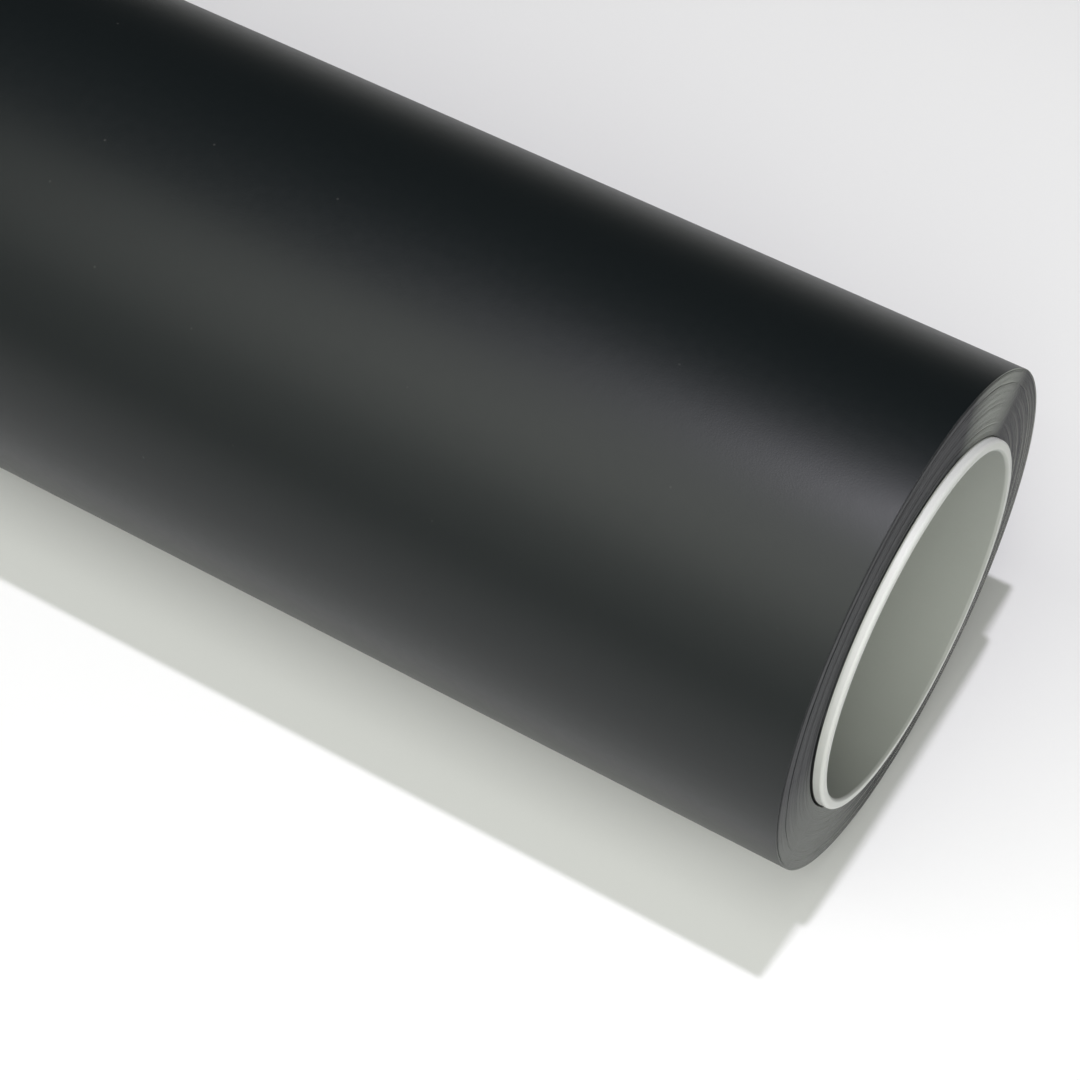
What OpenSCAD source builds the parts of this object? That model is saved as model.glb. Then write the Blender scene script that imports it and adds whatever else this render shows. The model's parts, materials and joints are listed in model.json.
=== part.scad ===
// A roll of sign vinyl: a web of vinyl film on its paper release liner, wound face out on a
// plastic core. The core lies along X, angles are counted from the front (-Y) over the top
// (+Z), and the origin is the middle of the core's axis.

/* [Core] */
// Inside diameter of the core, the usual 3 inch bore
core_bore_d = 76.2; // [50:0.1:153]
// Wall thickness of the core tube
core_wall = 2.4; // [1.6:0.1:8]
// Length of core that stands out past the web at each end
core_overhang = 2.1; // [0.5:0.1:20]
// Chamfer on the four edges of the core's two ends
core_chamfer = 0.4; // [0.1:0.05:0.7]

/* [Wound web] */
// Width of the web
web_w = 305; // [240:1:1600]
// Thickness of one layer of vinyl film with its adhesive
film_t = 0.45; // [0.3:0.01:1.2]
// Thickness of one layer of release liner
liner_t = 0.45; // [0.3:0.01:1.2]
// Air left between one layer and the next
wrap_gap = 0.08; // [0.08:0.01:0.3]
// Whole turns wound on the core under the loose tail
turns = 13; // [6:1:24]
// Angle at which the web starts on the core
start_angle = 18; // [0:1:60]
// How far the roll's weight flattens the outer film where the roll lies
flat_depth = 0.3; // [0.1:0.05:0.3]

/* [Start tape] */
// Thickness of the double-sided tape that holds the start of the web
start_tape_t = 0.3; // [0.1:0.05:1]
// Width of the start tape, measured round the core
start_tape_w = 25; // [6:1:50]

/* [Tail] */
// Angle at which the loose tail leaves the roll
tail_angle = 150; // [100:1:170]
// Length of each strip of the tail, measured round the roll
strip_len = 15.8; // [12:0.1:18]
// Air left under the root of the loose tail, on top of the usual gap
tail_lift = 0.22; // [0.2:0.01:1]
// Slit between one strip of the tail and the next
strip_slit = 0.2; // [0.1:0.05:0.5]
// Length of the film's free edge that peels off the liner
peel_len = 9.5; // [9:0.1:11]

/* [Tape tabs] */
// Width of each tape tab, along the roll
tab_w = 25; // [12:1:50]
// Thickness of the tape
tab_t = 0.3; // [0.1:0.05:0.5]
// Glue line between the tape and the film below it
tab_glue = 0.05; // [0.05:0.01:0.1]
// Length of tape on the film's free edge, measured round the roll
tab_anchor_len = 7; // [3:0.5:8]
// Length of tape past the free edge, on the wrap below
tab_flap_len = 13; // [6:0.5:20]
// Distance from the side of the web to the near side of each tab
tab_inset = 45; // [5:1:60]

/* [Hidden] */
$fn = 128;
tail_strips = 5;

core_r = core_bore_d / 2 + core_wall;
core_len = web_w + 2 * core_overhang;

// One turn of web is a liner with a film over it, each with its gap of air.
turn_pitch = liner_t + film_t + 2 * wrap_gap;
centre_shift = turn_pitch / 2;
liner_rise = 0;
film_rise = liner_t + wrap_gap;
web_start_r = core_r + wrap_gap + start_tape_t + wrap_gap;

// The roll lies on its last off-centre half turn, flattened there to floor_z.
bottom_r = web_start_r + (2 * turns - 1) * centre_shift + film_rise + film_t;
floor_z = centre_shift * sin(start_angle) - bottom_r + flat_depth;

// The tail starts one more half turn at its root. Its radii are from the centre of that half
// turn, and its angles run round that centre from the root.
tail_r = web_start_r + turns * turn_pitch + tail_lift + centre_shift;
tail_liner_r = tail_r + liner_rise;
tail_film_r = tail_r + film_rise;
tail_out_r = tail_film_r + film_t;
tail_end = tail_strips * arc_angle(strip_len, tail_out_r);
peel_start = tail_end - arc_angle(peel_len, tail_out_r);
slit_angle = arc_angle(strip_slit, tail_out_r);
tab_r = tail_out_r + tab_glue;
tab_x = web_w / 2 - tab_inset - tab_w / 2;

film_colour = [0.12, 0.13, 0.14];
liner_colour = [0.80, 0.80, 0.76];
core_colour = [0.72, 0.73, 0.70];
tape_colour = [0.86, 0.84, 0.72];

// Angle that a length covers on a circle.
function arc_angle(length, r) = length / r * 180 / PI;

// Turns a shape built round Z, from +X towards +Y, so that it runs along X from the front up.
module along_roll() {
    rotate([90, 0, -90]) children();
}

// A curved sheet: part of a tube between two angles, with its inner face at radius r.
module sheet(r, thickness, from_angle, to_angle, width) {
    rotate([0, 0, from_angle])
        rotate_extrude(angle = to_angle - from_angle)
            translate([r, -width / 2])
                square([thickness, width]);
}

// Half a turn of a spiral layer. Every other half turn has its centre half a pitch to the side
// on which the spiral starts, so each begins where the last one ended, one pitch out a turn.
module half_turn(k, rise, thickness, sweep) {
    turn_side = k % 2;
    rotate([0, 0, start_angle])
        translate([turn_side * centre_shift, 0, 0])
            sheet(web_start_r + k * centre_shift + rise, thickness,
                  turn_side * 180, turn_side * 180 + sweep, web_w);
}

// One layer of the web, from its start on the core to the root of the tail.
module wound_layer(rise, thickness) {
    along_roll() {
        for (k = [0 : 2 * turns - 1])
            half_turn(k, rise, thickness, 180);
        half_turn(2 * turns, rise, thickness, tail_angle - start_angle);
    }
}

// Turns shapes built on the tail's own centre and root to their place on the roll.
module along_tail() {
    along_roll()
        rotate([0, 0, tail_angle])
            translate([-centre_shift, 0, 0])
                children();
}

// One strip of a tail layer, with a slit at its near end.
module tail_strip(r, thickness, from_angle, to_angle) {
    along_tail()
        sheet(r, thickness, from_angle + slit_angle, to_angle, web_w);
}

function strip_start(i) = (i - 1) * arc_angle(strip_len, tail_out_r);

module core() {
    color(core_colour)
        along_roll()
            rotate_extrude()
                polygon([
                    [core_bore_d / 2 + core_chamfer, -core_len / 2],
                    [core_r - core_chamfer, -core_len / 2],
                    [core_r, -core_len / 2 + core_chamfer],
                    [core_r, core_len / 2 - core_chamfer],
                    [core_r - core_chamfer, core_len / 2],
                    [core_bore_d / 2 + core_chamfer, core_len / 2],
                    [core_bore_d / 2, core_len / 2 - core_chamfer],
                    [core_bore_d / 2, -core_len / 2 + core_chamfer]
                ]);
}

module start_tape() {
    tape_r = core_r + wrap_gap;
    color(tape_colour)
        along_roll()
            sheet(tape_r, start_tape_t, start_angle,
                  start_angle + arc_angle(start_tape_w, tape_r), web_w);
}

module wound_liner() {
    color(liner_colour)
        wound_layer(liner_rise, liner_t);
}

module wound_film() {
    color(film_colour)
        difference() {
            wound_layer(film_rise, film_t);
            translate([0, 0, floor_z - bottom_r / 2])
                cube([web_w + 1, bottom_r, bottom_r], center = true);
        }
}

module tail_liner(i) {
    color(liner_colour)
        tail_strip(tail_liner_r, liner_t, strip_start(i), strip_start(i + 1));
}

// The last film strip stops where the film's free edge starts to peel.
module tail_film(i) {
    color(film_colour)
        tail_strip(tail_film_r, film_t, strip_start(i), min(strip_start(i + 1), peel_start));
}

module film_edge() {
    color(film_colour)
        tail_strip(tail_film_r, film_t, peel_start, tail_end);
}

// The half of a tape tab that is stuck to the film's free edge.
module tab_anchor(x) {
    color(tape_colour)
        translate([x, 0, 0])
            along_tail()
                sheet(tab_r, tab_t, tail_end - arc_angle(tab_anchor_len, tab_r), tail_end, tab_w);
}

// The half of a tape tab past the free edge: a step down over the edge, then a flap that lies
// on the wrap below.
module tab_flap(x) {
    flap_start = tail_end + slit_angle;
    step_end = flap_start + arc_angle(tab_t, tab_r);
    flap_end = flap_start + arc_angle(tab_flap_len, tail_liner_r);
    color(tape_colour)
        translate([x, 0, 0])
            along_tail() {
                sheet(tail_liner_r, tab_r + tab_t - tail_liner_r, flap_start, step_end, tab_w);
                sheet(tail_liner_r, tab_t, flap_start, flap_end, tab_w);
            }
}

core();
start_tape();
wound_liner();
wound_film();
for (i = [1:tail_strips]) {
    tail_liner(i);
    tail_film(i);
}
film_edge();
tab_anchor(-tab_x);  // tab_left_anchor
tab_flap(-tab_x);  // tab_left_flap
tab_anchor(tab_x);  // tab_right_anchor
tab_flap(tab_x);  // tab_right_flap
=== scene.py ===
import json
import math
import random

import bmesh
import bpy
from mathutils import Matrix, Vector


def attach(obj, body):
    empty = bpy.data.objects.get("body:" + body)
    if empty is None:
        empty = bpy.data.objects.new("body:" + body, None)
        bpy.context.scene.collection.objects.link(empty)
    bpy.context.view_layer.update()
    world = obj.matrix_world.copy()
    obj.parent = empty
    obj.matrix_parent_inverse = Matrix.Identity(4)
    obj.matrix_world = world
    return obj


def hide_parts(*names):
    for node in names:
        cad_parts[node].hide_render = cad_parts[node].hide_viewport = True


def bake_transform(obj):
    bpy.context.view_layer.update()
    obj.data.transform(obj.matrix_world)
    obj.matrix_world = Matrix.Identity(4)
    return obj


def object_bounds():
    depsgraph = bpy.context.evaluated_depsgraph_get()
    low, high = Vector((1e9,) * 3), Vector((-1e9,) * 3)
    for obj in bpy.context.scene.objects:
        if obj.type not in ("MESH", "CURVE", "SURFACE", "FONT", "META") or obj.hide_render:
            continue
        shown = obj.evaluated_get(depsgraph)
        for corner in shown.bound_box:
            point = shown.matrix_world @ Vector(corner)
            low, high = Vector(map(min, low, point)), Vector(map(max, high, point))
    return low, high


# A roll of matt black sign vinyl on a plastic core. Lengths in the settings are millimetres,
# and angles are degrees counted round the roll from the front, over the top.

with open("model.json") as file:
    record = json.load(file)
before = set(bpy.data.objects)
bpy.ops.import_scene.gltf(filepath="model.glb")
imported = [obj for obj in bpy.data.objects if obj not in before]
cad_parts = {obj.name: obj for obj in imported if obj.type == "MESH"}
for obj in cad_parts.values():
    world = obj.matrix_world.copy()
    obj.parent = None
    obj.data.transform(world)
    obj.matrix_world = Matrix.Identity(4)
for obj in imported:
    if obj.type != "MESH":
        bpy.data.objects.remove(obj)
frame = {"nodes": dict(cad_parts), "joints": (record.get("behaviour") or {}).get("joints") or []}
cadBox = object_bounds()
joints = {joint["name"]: joint for joint in frame["joints"]}
mm = 0.001
floorHeight = cadBox[0].z / mm


def aroundRoll(x, angle, radius, rise=0.0):
    turned = math.radians(angle)
    return Vector((x, -math.cos(turned) * radius, math.sin(turned) * radius + rise)) * mm


def easeStep(low, high, value):
    part = min(max((value - low) / (high - low), 0.0), 1.0)
    return part * part * (3 - 2 * part)


# A socket that sums and products can be written with.
class Wire:
    def __init__(self, paint, socket):
        self.paint, self.socket = paint, socket

    def maths(self, operation, first, second):
        return self.paint.node("ShaderNodeMath", {"operation": operation}, {0: first, 1: second})

    def __add__(self, other):
        return self.maths("ADD", self, other)

    def __sub__(self, other):
        return self.maths("SUBTRACT", self, other)

    def __rsub__(self, other):
        return self.maths("SUBTRACT", other, self)

    def __mul__(self, other):
        return self.maths("MULTIPLY", self, other)

    def __truediv__(self, other):
        return self.maths("DIVIDE", self, other)

    def __pow__(self, other):
        return self.maths("POWER", self, other)

    __radd__ = __add__
    __rmul__ = __mul__


# A material, its nodes and the shader they feed.
class Paint:
    def __init__(self, name, **constants):
        self.material = bpy.data.materials.new(name)
        self.material.use_nodes = True
        self.tree = self.material.node_tree
        self.shader = self.tree.nodes["Principled BSDF"]
        for socket, value in constants.items():
            self.shader.inputs[socket.replace("_", " ")].default_value = value

    def node(self, kind, settings=None, inputs=None, output=0):
        made = self.tree.nodes.new(kind)
        for key, value in (settings or {}).items():
            if key == "stops":
                ramp = made.color_ramp
                for i, (place, shade) in enumerate(value):
                    stop = ramp.elements[i] if i < 2 else ramp.elements.new(place)
                    stop.position = place
                    stop.color = (shade, shade, shade, 1)
            else:
                setattr(made, key, value)
        for key, value in (inputs or {}).items():
            if isinstance(value, Wire):
                self.tree.links.new(value.socket, made.inputs[key])
            else:
                made.inputs[key].default_value = value
        return Wire(self, made.outputs[output])

    def place(self, stretch=(1, 1, 1)):
        here = self.node("ShaderNodeTexCoord", output="Object")
        return self.node("ShaderNodeMapping", None, {"Vector": here, "Scale": stretch})

    def noise(self, scale, detail=2.0, stretch=(1, 1, 1), rough=0.5):
        return self.node("ShaderNodeTexNoise", None, {
            "Vector": self.place(stretch), "Scale": scale, "Detail": detail, "Roughness": rough})

    def ramp(self, value, *stops):
        return self.node("ShaderNodeValToRGB", {"stops": stops}, {"Fac": value})

    def blendColours(self, share, first, second):
        return self.node("ShaderNodeMix", {"data_type": "RGBA"},
                         {0: share, 6: (*first, 1) if isinstance(first, tuple) else first,
                          7: (*second, 1) if isinstance(second, tuple) else second}, output=2)

    def axisRadius(self):  # distance from the roll's axis and place along it, in metres
        here = self.node("ShaderNodeTexCoord", output="Object")
        x, y, z = (self.node("ShaderNodeSeparateXYZ", None, {0: here}, output=i) for i in range(3))
        return (y * y + z * z) ** 0.5, x

    def bump(self, height, distance, strength=1.0):
        return self.node("ShaderNodeBump", None,
                         {"Height": height, "Distance": distance, "Strength": strength})

    def set(self, socket, value):
        self.tree.links.new(value.socket, self.shader.inputs[socket])
        return self


vinylLook = {"dark": (0.0026, 0.0046, 0.0052), "light": (0.0040, 0.0062, 0.0068),
             "dust": (0.09, 0.09, 0.085), "dustShare": 0.35, "dustScale": 95.0,
             "rough": 0.40, "roughVary": 0.04, "weaveVary": 0.05, "specular": 0.38,
             "cloudScale": 14.0, "grainScale": 2600.0, "weaveScale": 420.0, "relief": 0.000012}


def vinylFace():
    paint = Paint("mattVinyl", Specular_IOR_Level=vinylLook["specular"])
    cloud = paint.noise(vinylLook["cloudScale"], 3.0, (0.4, 1, 1))
    grain = paint.noise(vinylLook["grainScale"], 2.0)
    weave = paint.noise(vinylLook["weaveScale"], 3.0)
    specks = paint.node("ShaderNodeTexVoronoi", {"feature": "F1"},
                        {"Vector": paint.place(), "Scale": vinylLook["dustScale"]})
    dust = paint.ramp(specks, (0.0, 1.0), (0.035, 0.0))
    clean = paint.blendColours(cloud * 0.7 + grain * 0.3, vinylLook["dark"], vinylLook["light"])
    paint.set("Base Color", paint.blendColours(dust * vinylLook["dustShare"], clean,
                                               vinylLook["dust"]))
    paint.set("Roughness", vinylLook["rough"] + (cloud - 0.5) * vinylLook["roughVary"]
              + (weave - 0.5) * vinylLook["weaveVary"])
    paint.set("Normal", paint.bump(grain * 0.7 + weave * 0.6 + dust * 1.5, vinylLook["relief"]))
    return paint.material


def ringHeight(paint, scale):  # fine rings round the axis, as a slit edge shows
    radius = paint.axisRadius()[0]
    rings = paint.node("ShaderNodeCombineXYZ", None, {0: radius, 1: 0.0, 2: 0.0})
    return paint.node("ShaderNodeTexNoise", None,
                      {"Vector": rings, "Scale": scale, "Detail": 3.0, "Roughness": 0.65})


# painted highlights on the cut edges, where the end's rings would catch the light: which way each
# lies (y, z), how near that the painted highlight starts and is full, and how strong it is
paintedHighlights = [((0.574, 0.819), 0.945, 0.998, 1.0), ((-0.80, -0.60), 0.72, 0.99, 0.55)]


def paintedHighlightShare(paint):  # the share of the painted highlight tone
    here = paint.node("ShaderNodeTexCoord", output="Object")
    y, z = (paint.node("ShaderNodeSeparateXYZ", None, {0: here}, output=i) for i in (1, 2))
    radius = (y * y + z * z) ** 0.5
    upper, lower = (
        paint.ramp((y * way[0] + z * way[1]) / radius, (start, 0.0), (full, 1.0)) * strength
        for way, start, full, strength in paintedHighlights)
    broken = paint.noise(55.0, 2.0)
    return (upper + lower) * (0.75 + broken * 0.5)


# each cut edge's dark and light tones, and the paler tone of its painted highlight
cutLooks = {
    "film": {"name": "vinylCutEdge", "dark": (0.008, 0.008, 0.010), "light": (0.022, 0.023, 0.027),
             "pale": (0.13, 0.135, 0.13), "rough": 0.48},
    "liner": {"name": "linerCutEdge", "dark": (0.024, 0.025, 0.030),
              "light": (0.052, 0.053, 0.062), "pale": (0.33, 0.345, 0.32), "rough": 0.54},
}


def cutEdge(look):
    paint = Paint(look["name"], Specular_IOR_Level=0.32)
    rings = ringHeight(paint, 2600.0)
    broad = ringHeight(paint, 420.0)
    fine = paint.noise(1800.0, 2.0)
    plain = paint.blendColours(broad * 0.6 + fine * 0.4, look["dark"], look["light"])
    # paler where the painted highlights lie: painted highlight, not wear
    paint.set("Base Color", paint.blendColours(paintedHighlightShare(paint), plain, look["pale"]))
    paint.set("Roughness", look["rough"] + fine * 0.16)
    paint.set("Normal", paint.bump(rings + fine * 0.25, 0.00010))
    return paint.material


def linerFace():
    paint = Paint("linerPaper", Specular_IOR_Level=0.5)
    fibre = paint.noise(900.0, 4.0, (0.35, 1, 1), 0.6)
    cloud = paint.noise(30.0, 3.0)
    paint.set("Base Color", paint.blendColours(cloud * 0.6 + fibre * 0.4, (0.66, 0.655, 0.61),
                                               (0.76, 0.755, 0.72)))
    paint.set("Roughness", 0.38 + fibre * 0.18)
    paint.set("Normal", paint.bump(fibre, 0.00002))
    return paint.material


# the core's plastic, with near-black painted shade on its wall under the web and a darker copy as
# painted shade inside the bore
coreLook = {"dark": (0.61, 0.62, 0.60), "light": (0.67, 0.68, 0.66),
            "boreShadeDark": (0.39, 0.405, 0.38), "boreShadeLight": (0.45, 0.465, 0.44),
            "paintedGapShade": (0.012, 0.013, 0.014), "gapShadeTo": 0.15255}


def corePlastic():
    paint = Paint("corePlastic", Specular_IOR_Level=0.45)
    drawn = paint.noise(240.0, 3.0, (0.012, 1, 1), 0.6)  # fine lines from the extruder, end to end
    cloud = paint.noise(22.0, 3.0)
    grain = paint.noise(1700.0, 2.0)
    sawn = paint.noise(700.0, 3.0, (0.3, 1, 0.06), 0.6)
    radius, x = paint.axisRadius()
    along = paint.node("ShaderNodeMath", {"operation": "ABSOLUTE"}, {0: x})
    endFace = paint.ramp(along * 6.0, (0.9255, 0.0), (0.9275, 1.0))
    # painted shade: the core's outer wall is painted near black as far as the web reaches
    gapShade = paint.ramp((coreLook["gapShadeTo"] - along) * 1000.0, (0.0, 0.0), (0.08, 1.0))
    outside = paint.ramp((radius - 0.0395) * 500.0, (0.1, 0.0), (0.2, 1.0))
    mottle = cloud * 0.55 + drawn * 0.25 + grain * 0.2
    # painted shade: the bore's inside is a darker copy of the same plastic
    shadedBore = paint.ramp((0.0388 - radius) * 1000.0, (0.0, 0.0), (0.35, 1.0))
    plastic = paint.blendColours(
        shadedBore, paint.blendColours(mottle, coreLook["dark"], coreLook["light"]),
        paint.blendColours(mottle, coreLook["boreShadeDark"], coreLook["boreShadeLight"]))
    paint.set("Base Color", paint.blendColours(gapShade * outside, plastic,
                                               coreLook["paintedGapShade"]))  # painted shade: the core's wall under the web is near black, darkening the gap
    paint.set("Roughness", 0.44 + (cloud - 0.5) * 0.12 + (drawn - 0.5) * 0.1 + endFace * 0.1)
    paint.set("Normal", paint.bump(drawn * (1 - endFace) + sawn * endFace * 1.6 + grain * 0.3,
                                   0.00003))
    return paint.material


def crepeTape():
    paint = Paint("crepeTape", Specular_IOR_Level=0.35)
    crinkle = paint.noise(1500.0, 4.0, (1, 0.22, 0.22), 0.6)
    cloud = paint.noise(60.0, 3.0)
    paint.set("Base Color", paint.blendColours(cloud * 0.5 + crinkle * 0.5, (0.60, 0.53, 0.36),
                                               (0.72, 0.66, 0.49)))
    paint.set("Roughness", 0.62 + crinkle * 0.2)
    paint.set("Normal", paint.bump(crinkle, 0.00006))
    return paint.material


def stickyTape():
    paint = Paint("doubleSidedTape", Specular_IOR_Level=0.5)
    cloud = paint.noise(120.0, 3.0)
    paint.set("Base Color", paint.blendColours(cloud, (0.30, 0.29, 0.26), (0.38, 0.37, 0.34)))
    paint.set("Roughness", 0.3 + cloud * 0.2)
    paint.set("Normal", paint.bump(cloud, 0.00004))
    return paint.material


looks = {"film": [vinylFace(), cutEdge(cutLooks["film"])],
         "liner": [linerFace(), cutEdge(cutLooks["liner"])],
         "core": [corePlastic()], "tape": [crepeTape()], "startTape": [stickyTape()]}
for node, piece in frame["nodes"].items():  # what a CAD node wears if it stays in sight
    piece.data.materials.clear()
    slotName = "core" if node == "core" else "startTape" if node == "start_tape" else \
        "tape" if node.startswith("tab_") else "liner" if "liner" in node else "film"
    piece.data.materials.append(looks[slotName][0])
print("materials made")


# the web: liner and film in one spiral from the core to the loose end
web = {"width": 305.0, "linerThick": 0.13, "filmThick": 0.09, "turns": 57, "startAngle": 18.0,
       "tailAngle": 150.0, "innerRadius": 40.62, "outerRadius": 55.10, "rise": 0.10,
       "rowAngle": 3.0, "clear": 0.01, "seed": 7}
webThick = web["linerThick"] + web["filmThick"]
rootTurn = web["turns"] * 360 + web["tailAngle"] - web["startAngle"]  # degrees wound to the root
pitch = (web["outerRadius"] - webThick - web["innerRadius"]) / rootTurn * 360
lowRadius = web["outerRadius"] - pitch * (web["tailAngle"] + 90) / 360
sag = lowRadius + floorHeight + web["clear"]  # the roll settles by this much where it lies

# the step over the start of the web: the fold's height and end, where the first wrap lies down
# again, and the hump that it leaves in the wraps above
startStep = {"foldThick": 0.78, "foldEnd": 40.0, "foldFade": 96.0, "firstWrap": 298,
             "hump": 1.3, "humpFrom": -44.0, "humpTop": 40.0, "humpTo": 130.0}


def humpAt(angle):  # how far the wraps stand off the core where they pass over its start
    turned = (angle - startStep["humpFrom"]) % 360 + startStep["humpFrom"]
    up = easeStep(startStep["humpFrom"], web["startAngle"], turned)
    down = easeStep(startStep["humpTop"], startStep["humpTo"], turned)
    return startStep["hump"] * up * (1 - down)


def webRadius(turn):  # radius of the liner's inner face after so many degrees of winding
    share = turn / rootTurn
    angle = turn + web["startAngle"]
    if turn < startStep["firstWrap"]:
        lift = startStep["foldThick"] * (1 - easeStep(startStep["foldEnd"],
                                                      startStep["foldFade"], angle))
    else:
        lift = humpAt(angle) * (1 - share)
    return web["innerRadius"] + (web["outerRadius"] - webThick - web["innerRadius"]) * share + lift


stray = {"steps": 8, "fine": 0.010, "slow": 0.04, "outerWrap": 54.66, "outerIn": 0.05}
dice = random.Random(web["seed"])
strayTable = [dice.uniform(-1, 1) for _ in range(480)]
grooves = [  # radius at the front, radius at the top, half-width, depth, depth lost below
    (54.62, 54.66, 0.16, 0.20, 0.3), (51.3, 52.6, 0.15, 0.22, 1.0), (43.4, 43.3, 0.20, 0.10, 0.9),
    (48.3, 47.6, 0.30, 0.04, 0.6)]


def wander(turn, radius):  # how far the web's edge strays sideways as it is wound
    angle = (turn + web["startAngle"]) % 360
    step = turn / 360 * stray["steps"]
    i, part = int(step) % 470, step - int(step)
    ease = easeStep(0, 1, part)
    fine = strayTable[i] * (1 - ease) + strayTable[i + 1] * ease
    slow = math.sin(radius * 1.9) * 0.5 + math.sin(radius * 4.3 + 1) * 0.3
    sideways = fine * stray["fine"] + slow * stray["slow"]
    top = 0.5 - 0.5 * math.cos(math.radians(angle * 2))
    below = 0.5 - 0.5 * math.cos(math.radians(angle - 75))
    for front, over, width, depth, lost in grooves:
        away = (radius - (front * (1 - top) + over * top)) / width
        sideways -= depth * (1 - lost * below) * math.exp(-away * away)
    if radius > stray["outerWrap"]:
        sideways -= stray["outerIn"]
    return sideways


def webPoint(turn, side, low, lift=0.0):
    share = min(turn / rootTurn, 1.0)
    wrapRadius = webRadius(turn)
    radius = wrapRadius + low + lift
    x = side * web["width"] + wander(turn, wrapRadius + webThick / 2)
    spot = aroundRoll(x, turn + web["startAngle"], radius, web["rise"] * share)
    spot.z = max(spot.z, (sag * share - radius) * mm)
    return spot


def finishPiece(name, mesh, materials, sharpAngle=35):
    data = bpy.data.meshes.new(name)
    mesh.to_mesh(data)
    mesh.free()
    for material in materials:
        data.materials.append(material)
    data.shade_smooth()
    data.set_sharp_from_angle(angle=math.radians(sharpAngle))
    piece = bpy.data.objects.new(name, data)
    bpy.context.scene.collection.objects.link(piece)
    return piece


def thicken(mesh, thick):  # gives a sheet its thickness, outwards from the face it was made on
    mesh.normal_update()
    bmesh.ops.solidify(mesh, geom=mesh.faces[:], thickness=-thick * mm)
    bmesh.ops.recalc_face_normals(mesh, faces=mesh.faces[:])
    for face in mesh.faces:
        face.material_index = 1 if abs(face.normal.x) > 0.8 else 0


def webLayer(name, layer, fromTurn, toTurn, columns=2, rowAngle=web["rowAngle"], liftAt=None):
    low = 0.0 if layer == "liner" else web["linerThick"]
    thick = web["linerThick"] if layer == "liner" else web["filmThick"]
    rows = round((toTurn - fromTurn) / rowAngle)
    mesh = bmesh.new()
    bmesh.ops.create_grid(mesh, x_segments=columns, y_segments=rows, size=0.5)
    for vert in mesh.verts:
        turn = fromTurn + (toTurn - fromTurn) * (vert.co.y + 0.5)
        lift = liftAt(turn) if liftAt else 0.0
        vert.co = webPoint(turn, vert.co.x, low, lift)
    thicken(mesh, thick)
    return finishPiece(name, mesh, looks[layer])


def tailTurn(name):  # degrees of winding at a hinge
    y, z = joints[name]["pos_m"][1:]
    angle = math.degrees(math.atan2(z, -y)) % 360
    return web["turns"] * 360 + angle - web["startAngle"]


hingeTurns = [tailTurn(f"tail_hinge_{i}") for i in range(1, 6)]
woundEnd = rootTurn - (hingeTurns[1] - rootTurn) / 2
for layer in ("liner", "film"):
    piece = webLayer("wound" + layer.capitalize(), layer, 0.0, woundEnd)
    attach(piece, "roll")
    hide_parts("wound_" + layer)
    print(piece.name, len(piece.data.polygons), "faces")


# the start of the web is folded under itself, so that its edge lies straight
foldShape = {"above": 0.34, "gap": 0.24, "thick": 0.16, "step": 2.0, "rows": 11}


def startFold():
    mesh = bmesh.new()
    inner = web["innerRadius"] + foldShape["above"]
    outer = inner + foldShape["gap"]
    step, rows = foldShape["step"], foldShape["rows"]
    sections = [(startStep["foldEnd"] - i * step, inner) for i in range(rows)]
    sections += [(19.4, inner + 0.04), (18.9, (inner + outer) / 2), (19.4, outer - 0.04)]
    sections += [(20.0 + i * step, outer) for i in range(rows)]
    verts = [mesh.verts.new(aroundRoll(-web["width"] / 2, angle, radius))
             for angle, radius in sections]
    edges = [mesh.edges.new(pair) for pair in zip(verts, verts[1:])]
    grown = bmesh.ops.extrude_edge_only(mesh, edges=edges)["geom"]
    bmesh.ops.translate(mesh, vec=(web["width"] * mm, 0, 0),
                        verts=[part for part in grown if isinstance(part, bmesh.types.BMVert)])
    thicken(mesh, foldShape["thick"])
    return finishPiece("startFold", mesh, looks["film"])


fold = startFold()
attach(fold, "roll")


startTapeShape = {"short": 3.0, "from": 1.2, "span": 34.0, "below": 0.04, "thick": 0.14}


def startTape():
    mesh = bmesh.new()
    bmesh.ops.create_grid(mesh, x_segments=1, y_segments=24, size=0.5)
    for vert in mesh.verts:
        angle = (web["startAngle"] + startTapeShape["from"]
                 + startTapeShape["span"] * (vert.co.y + 0.5))
        vert.co = aroundRoll(vert.co.x * (web["width"] - startTapeShape["short"]), angle,
                             web["innerRadius"] - startTapeShape["below"])
    thicken(mesh, startTapeShape["thick"])
    return finishPiece("startTape", mesh, looks["startTape"] * 2)


tapeUnder = startTape()
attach(tapeUnder, "roll")
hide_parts("start_tape")
print("start of the web made")


# the loose tail: one piece over each hinge, seamed in the middle of each strip
tail = {"rowAngle": 0.8, "edgeRow": 0.4, "bend": 7.8, "filmBend": 3.0,
        "edgeBend": (0.1, 5.4), "lift": 0.05}


def tailLift(turn):
    return tail["lift"] * easeStep(rootTurn, tailEnd, turn)


def bendAcross(piece, joint, before, after):
    hinge = joints[joint]
    y, z = hinge["pos_m"][1:]
    along = Vector((0, z, -y)).normalized()  # the way the web runs, up the front and over
    start = Vector(hinge["pos_m"]) - along * before * mm
    end = Vector(hinge["pos_m"]) + along * after * mm
    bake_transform(piece)


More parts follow.
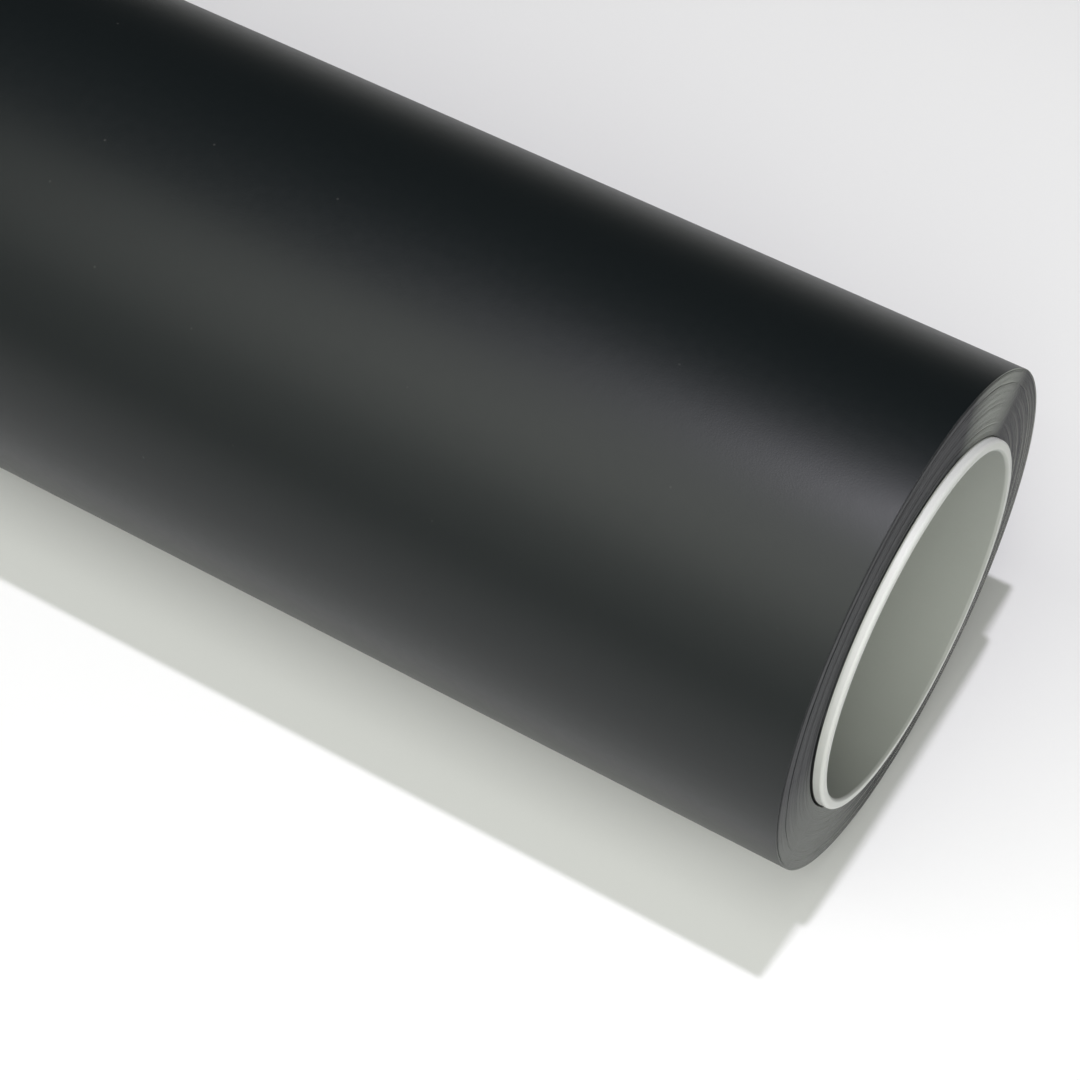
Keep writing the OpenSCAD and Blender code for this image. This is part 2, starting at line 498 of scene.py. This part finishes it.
peelTurn = tailTurn("film_peel")
tailEnd = tailTurn("tab_left_lift") - 0.2
seams = [woundEnd] + [(a + b) / 2 for a, b in zip(hingeTurns, hingeTurns[1:])]
for i, hinge in enumerate(hingeTurns):
    last = i == len(hingeTurns) - 1
    for layer in ("liner", "film"):
        upTo = seams[i + 1] if not last else tailEnd if layer == "liner" else (hinge + peelTurn) / 2
        piece = webLayer(f"tail{layer.capitalize()}{i + 1}", layer, seams[i], upTo, 4,
                         tail["rowAngle"], tailLift)
        bend = tail["filmBend"] if last and layer == "film" else tail["bend"]
        bendAcross(piece, f"tail_hinge_{i + 1}", bend, bend)
        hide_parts(f"tail_{layer}_{i + 1}")
freeEdge = webLayer("filmEdge", "film", (hingeTurns[-1] + peelTurn) / 2, tailEnd, 4,
                    tail["edgeRow"], tailLift)
bendAcross(freeEdge, "film_peel", *tail["edgeBend"])
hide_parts("film_edge")
print("tail made")


# the tape tabs that hold the loose edge down
tab = {"width": 25.0, "thick": 0.14, "anchor": 7.0, "flap": 12.5, "step": 0.8, "bend": 1.0,
       "tooth": 0.35, "crinkle": 0.012, "clear": 0.03, "across": 30, "along": 52, "seed": 3}


def tapeTab(name, side):
    joint = joints[f"tab_{side}_lift"]
    middle = joint["pos_m"][0] / mm
    perDegree = math.pi / 180 * web["outerRadius"]
    mesh = bmesh.new()
    bmesh.ops.create_grid(mesh, x_segments=tab["across"], y_segments=tab["along"], size=0.5)
    shake = random.Random(tab["seed"] + (side == "left"))
    waves = [shake.uniform(0, 6.28) for _ in range(2)]
    for vert in mesh.verts:
        along = -tab["anchor"] + (tab["anchor"] + tab["flap"]) * (vert.co.y + 0.5)
        across = vert.co.x * tab["width"]
        column = round((vert.co.x + 0.5) * tab["across"])
        if abs(vert.co.y) > 0.499:  # the ends are torn off over a toothed blade
            along += tab["tooth"] * (1 if column % 2 else -1)
        over = webRadius(min(tailEnd + along / perDegree, tailEnd)) + tailLift(tailEnd) + webThick
        under = webRadius(tailEnd + along / perDegree - 360) + webThick
        drop = easeStep(0.15, tab["step"], along)
        crinkle = math.sin(along * 4.1 + waves[0]) * math.sin(across * 0.9 + waves[1])
        radius = (over * (1 - drop) + under * drop + tab["clear"]
                  + abs(tab["crinkle"] * crinkle))
        vert.co = aroundRoll(middle + across, tailEnd + along / perDegree + web["startAngle"],
                             radius, web["rise"])
    thicken(mesh, tab["thick"])
    return finishPiece(name, mesh, looks["tape"] * 2)


for side in ("left", "right"):
    piece = tapeTab(f"tapeTab{side.capitalize()}", side)
    bendAcross(piece, f"tab_{side}_lift", tab["bend"], tab["bend"])
    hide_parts(f"tab_{side}_anchor", f"tab_{side}_flap")
print("tape tabs made")


coreShape = {"bore": 38.1, "wall": 2.4, "length": 309.2, "round": 0.75, "roundSteps": 5,
             "steps": 160, "rings": 12}


def coreTube():
    mesh = bmesh.new()
    half = coreShape["length"] / 2
    low, high = coreShape["bore"], coreShape["bore"] + coreShape["wall"]
    corners = [(-half, low), (half, low), (half, high), (-half, high)]
    verts = [mesh.verts.new(Vector((x, 0, radius)) * mm) for x, radius in corners]
    edges = [mesh.edges.new((verts[i], verts[(i + 1) % 4])) for i in range(4)]
    bmesh.ops.spin(mesh, geom=verts + edges, cent=(0, 0, 0), axis=(1, 0, 0), dvec=(0, 0, 0),
                   angle=math.tau, steps=coreShape["steps"], use_merge=True)
    bmesh.ops.remove_doubles(mesh, verts=mesh.verts[:], dist=1e-6)
    bmesh.ops.recalc_face_normals(mesh, faces=mesh.faces[:])
    rims = [edge for edge in mesh.edges
            if abs(edge.verts[0].co.x - edge.verts[1].co.x) < 1e-6
            and abs(edge.verts[0].co.yz.length - edge.verts[1].co.yz.length) < 1e-5]
    bmesh.ops.bevel(mesh, geom=rims, offset=coreShape["round"] * mm, affect="EDGES",
                    segments=coreShape["roundSteps"], profile=0.5, material=-1)
    long = [edge for edge in mesh.edges if edge.calc_length() > 0.2]
    bmesh.ops.subdivide_edges(mesh, edges=long, cuts=coreShape["rings"], use_grid_fill=True)
    piece = finishPiece("coreTube", mesh, looks["core"], 60)
    smooth = piece.modifiers.new("weightedNormals", "WEIGHTED_NORMAL")
    smooth.keep_sharp = True
    return piece


core = coreTube()
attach(core, "roll")
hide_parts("core")
print("core made", len(core.data.polygons), "faces")


floorShape = {"half": 3.0, "under": 0.02}  # half its width in metres, how far it lies below


def paleFloor():
    paint = Paint("paleTable", Specular_IOR_Level=0.3)
    cloud = paint.noise(5.0, 3.0)
    grain = paint.noise(900.0, 2.0)
    paint.set("Base Color", paint.blendColours(cloud * 0.7 + grain * 0.3, (0.80, 0.80, 0.805),
                                               (0.83, 0.83, 0.83)))
    paint.set("Roughness", 0.62 + cloud * 0.1)
    mesh = bmesh.new()
    bmesh.ops.create_grid(mesh, x_segments=8, y_segments=8, size=floorShape["half"])
    bmesh.ops.translate(mesh, vec=(0, 0, (floorHeight - floorShape["under"]) * mm),
                        verts=mesh.verts[:])
    return finishPiece("table", mesh, [paint.material])


table = paleFloor()

lights = {
    "key": {"place": (0.134, -0.010, 0.945), "power": 18.8, "radius": 0.014,
            "aim": (0.0, 0.0, -0.055), "cone": 52.0, "blend": 0.7,
            "colour": (1.0, 0.97, 1.06)},
    "panels": {  # soft light: azimuth from the front, elevation, distance, width, height, watts
        "frontSill": (-5, 18, 1.3, 1.3, 0.5, 1.9),
        "frontLow": (-5, 45, 1.3, 1.3, 0.6, 5.2),
        "frontHigh": (-5, 68, 1.3, 1.3, 0.6, 5.9),
        "side": (40, 35, 1.3, 0.8, 0.8, 4.5),
        "right": (72, 24, 1.3, 0.8, 0.4, 3.0),
    },
    "fillColour": (1.0, 1.02, 0.95),
    "room": 0.045,
}


def turnTo(place, target):
    return (Vector(target) - Vector(place)).to_track_quat("-Z", "Y").to_euler()


keyData = bpy.data.lights.new("key", "SPOT")
keyData.spot_size, keyData.spot_blend = math.radians(lights["key"]["cone"]), lights["key"]["blend"]
keyData.energy, keyData.shadow_soft_size = lights["key"]["power"], lights["key"]["radius"]
keyData.color = lights["key"]["colour"]
key = bpy.data.objects.new("key", keyData)
key.location = lights["key"]["place"]
key.rotation_euler = turnTo(key.location, lights["key"]["aim"])
lamps = [key]
for name, (azimuth, elevation, distance, wide, high, watts) in lights["panels"].items():
    data = bpy.data.lights.new(name, "AREA")
    data.shape, data.size, data.size_y, data.energy = "RECTANGLE", wide, high, watts
    data.color = lights["fillColour"]
    panel = bpy.data.objects.new(name, data)
    turned, raised = math.radians(azimuth), math.radians(elevation)
    panel.location = Vector((math.sin(turned) * math.cos(raised),
                             -math.cos(turned) * math.cos(raised), math.sin(raised))) * distance
    panel.rotation_euler = turnTo(panel.location, (0, 0, 0))
    lamps.append(panel)
for lamp in lamps:
    lamp.visible_camera = False
    bpy.context.scene.collection.objects.link(lamp)

world = bpy.data.worlds.new("room")
world.use_nodes = True
world.node_tree.nodes["Background"].inputs["Color"].default_value = (1, 1, 1, 1)
world.node_tree.nodes["Background"].inputs["Strength"].default_value = lights["room"]
bpy.context.scene.world = world

view = {"lens": 99.97, "place": (0.27348, -0.33735, 0.48391), "turned": (37.521, 0.063, 31.524)}
cameraData = bpy.data.cameras.new("camera")
cameraData.lens = view["lens"]
camera = bpy.data.objects.new("camera", cameraData)
camera.location = view["place"]
camera.rotation_euler = [math.radians(angle) for angle in view["turned"]]
bpy.context.scene.collection.objects.link(camera)
bpy.context.scene.camera = camera
bpy.context.scene.view_settings.view_transform = "Standard"
